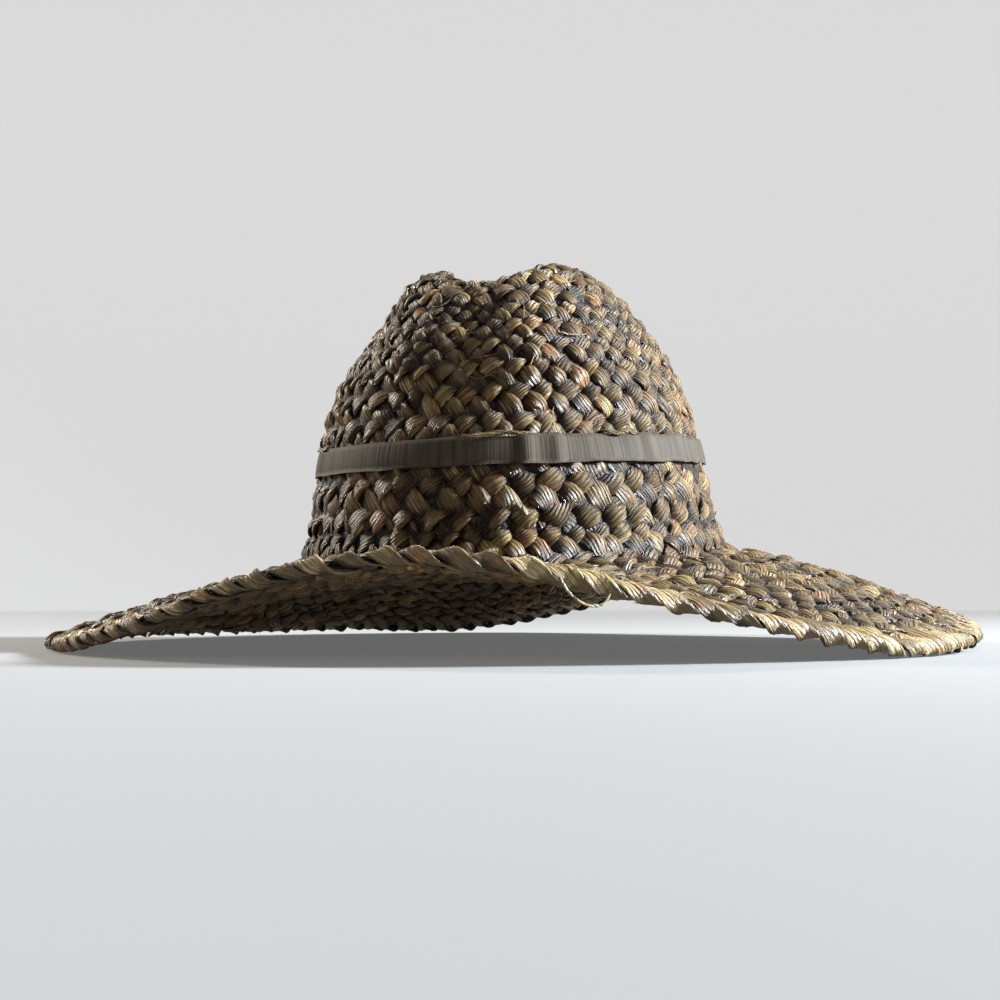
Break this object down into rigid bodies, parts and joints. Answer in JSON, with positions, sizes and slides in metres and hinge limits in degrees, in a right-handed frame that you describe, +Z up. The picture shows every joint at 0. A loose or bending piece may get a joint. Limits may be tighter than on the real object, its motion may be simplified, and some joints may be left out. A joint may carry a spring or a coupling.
{
  "type": "plaited straw fedora",
  "caption": "Wide-brimmed fedora plaited from straw, with a dented crown, a waved brim, a folded edge, a thin ribbon and an inner head band.",
  "frame": {"origin": "centre of the hat's box at the floor on which its brim stands", "axes": "+Z up through the crown, -Y towards the front of the hat, +X towards the wearer's left"},
  "size_m": [0.3642, 0.4016, 0.1524],
  "materials": {
    "straw": "plaited seagrass straw, dyed dark brown, low sheen on each strand",
    "edge_straw": "the same straw turned back along the edge, tan and worn",
    "ribbon": "matt grosgrain ribbon with fine upright ribs",
    "head_band": "soft black woven band"
  },
  "bodies": {
    "root": {"crown": "straw", "brim": "straw", "edge_plait": "edge_straw", "ribbon_band": "ribbon", "sweatband": "head_band"}
  },
  "joints": []
}
